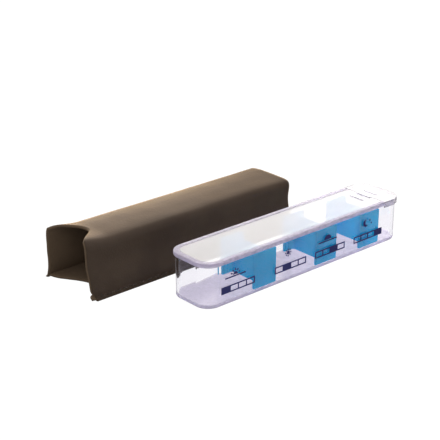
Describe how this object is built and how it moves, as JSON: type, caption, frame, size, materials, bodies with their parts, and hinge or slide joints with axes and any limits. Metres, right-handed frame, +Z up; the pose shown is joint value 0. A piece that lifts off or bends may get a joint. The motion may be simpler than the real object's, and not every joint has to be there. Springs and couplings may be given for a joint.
{
  "type": "pill organiser",
  "caption": "Clear pocket pill box with a sliding lid, movable blue dividers and dose marks, lying in front of its soft brown slip-on sleeve.",
  "frame": {"origin": "centre of the tray's flat underside", "axes": "+X along the tray towards the end the lid opens from, +Y towards the sleeve, +Z up"},
  "size_m": [0.144, 0.0716, 0.0232],
  "materials": {
    "clear_plastic": "clear, polished, faint lilac in the edges",
    "blue_plastic": "translucent blue, polished",
    "ink": "opaque print",
    "sleeve_cloth": "dark brown, soft, fine grain with a satin sheen",
    "thread": "dark brown sewing thread"
  },
  "bodies": {
    "box": {"tray": "clear_plastic", "mark_morning": "ink", "mark_noon": "ink", "mark_evening": "ink", "mark_night": "ink"},
    "lid": {"sliding_lid": "clear_plastic"},
    "divider_morning": {"divider_1": "blue_plastic"},
    "divider_noon": {"divider_2": "blue_plastic"},
    "divider_evening": {"divider_3": "blue_plastic"},
    "sleeve": {"sleeve_wrap": "sleeve_cloth", "sleeve_bottom_strip": "sleeve_cloth", "front_seam_stitches": "thread", "back_seam_stitches": "thread"}
  },
  "joints": [
    {"name": "lid_slide", "type": "slide", "parent": "box", "child": "lid", "axis": [1, 0, 0], "range_m": [0, 0.1]},
    {"name": "divider_1_slide", "type": "slide", "parent": "box", "child": "divider_morning", "axis": [1, 0, 0], "range_m": [-0.019, 0.01]},
    {"name": "divider_2_slide", "type": "slide", "parent": "box", "child": "divider_noon", "axis": [1, 0, 0], "range_m": [-0.012, 0.006]},
    {"name": "divider_3_slide", "type": "slide", "parent": "box", "child": "divider_evening", "axis": [1, 0, 0], "range_m": [-0.007, 0.006]},
    {"name": "sleeve_slide", "type": "slide", "parent": "box", "child": "sleeve", "axis": [1, 0, 0], "range_m": [-0.05, 0.113]}
  ]
}
